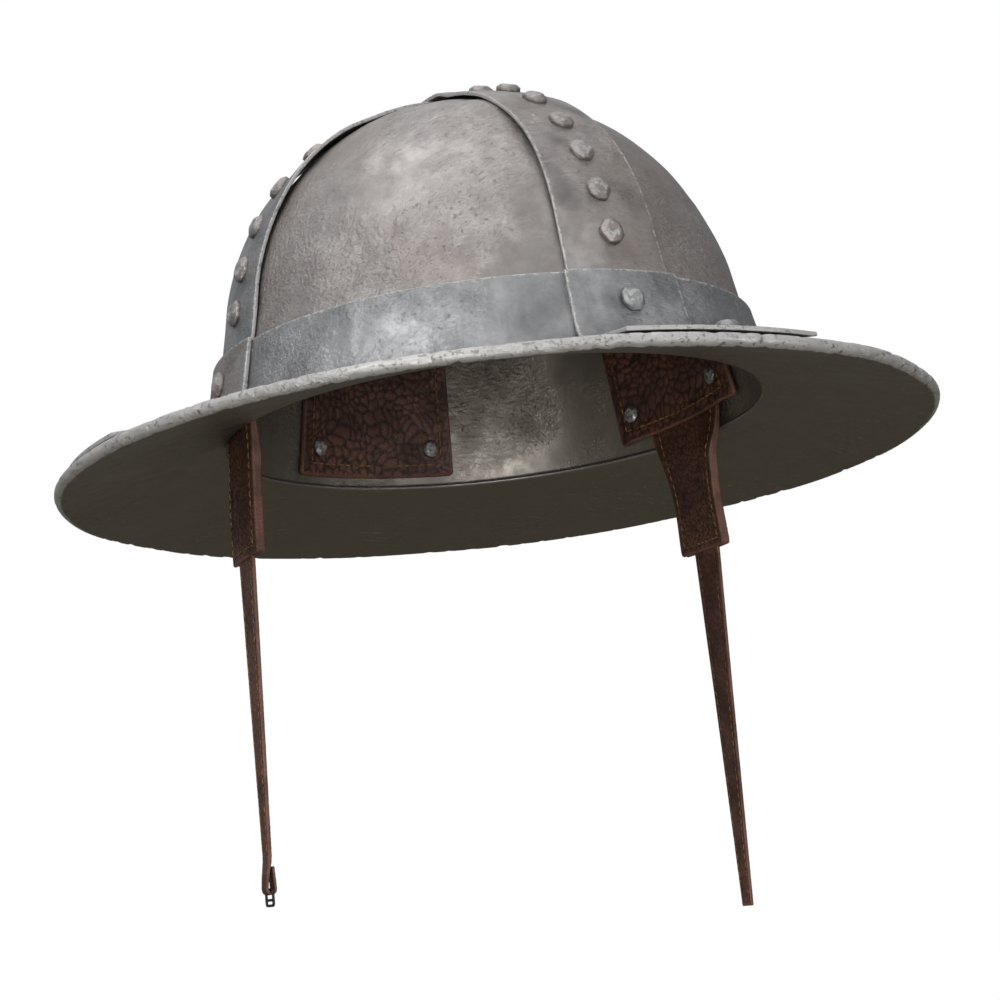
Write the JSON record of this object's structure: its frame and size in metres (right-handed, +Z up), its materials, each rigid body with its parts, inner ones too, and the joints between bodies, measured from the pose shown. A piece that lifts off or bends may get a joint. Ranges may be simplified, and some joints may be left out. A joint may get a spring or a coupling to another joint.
{
  "type": "kettle hat",
  "caption": "Wide-brimmed riveted steel kettle hat with crossed crown straps, brow band, leather patches inside and hanging leather chin straps.",
  "frame": {"origin": "on the hat's axis, in the plane of the lower edge of the opening that the head goes through", "axes": "+Z up along the crown's axis, -Y towards the front of the hat, +X towards the wearer's left"},
  "size_m": [0.37, 0.37, 0.356],
  "materials": {
    "steel": "worn raised sheet steel, pitted and stained brown in places",
    "band_steel": "darker bluish forged steel, worn bright at its edges",
    "leather": "dark red-brown pebbled leather with ochre stitching",
    "buckle_steel": "blackened steel"
  },
  "bodies": {
    "root": {"angle_plate_back": "steel", "angle_plate_front": "steel", "angle_plate_left": "steel", "angle_plate_right": "steel", "brim": "steel", "brow_band_back_left": "band_steel", "brow_band_back_right": "band_steel", "brow_band_front_left": "band_steel", "brow_band_front_right": "band_steel", "buckle": "buckle_steel", "chin_strap_left": "leather", "chin_strap_right": "leather", "crown_rivet_1": "steel", "crown_rivet_10": "steel", "crown_rivet_11": "steel", "crown_rivet_12": "steel", "crown_rivet_13": "steel", "crown_rivet_14": "steel", "crown_rivet_15": "steel", "crown_rivet_2": "steel", "crown_rivet_3": "steel", "crown_rivet_4": "steel", "crown_rivet_5": "steel", "crown_rivet_6": "steel", "crown_rivet_7": "steel", "crown_rivet_8": "steel", "crown_rivet_9": "steel", "crown_strap": "steel", "left_rivet_1": "band_steel", "left_rivet_2": "band_steel", "left_rivet_3": "band_steel", "left_rivet_4": "band_steel", "left_rivet_5": "band_steel", "patch_back": "leather", "patch_back_rivet_a": "steel", "patch_back_rivet_b": "steel", "patch_left": "leather", "patch_left_rivet_a": "steel", "patch_left_rivet_b": "steel", "patch_right": "leather", "patch_right_rivet_a": "steel", "patch_right_rivet_b": "steel", "right_rivet_1": "band_steel", "right_rivet_2": "band_steel", "right_rivet_3": "band_steel", "right_rivet_4": "band_steel", "right_rivet_5": "band_steel", "side_strap": "band_steel", "skull": "steel", "strap_tab_left": "leather", "strap_tab_right": "leather"}
  },
  "joints": []
}
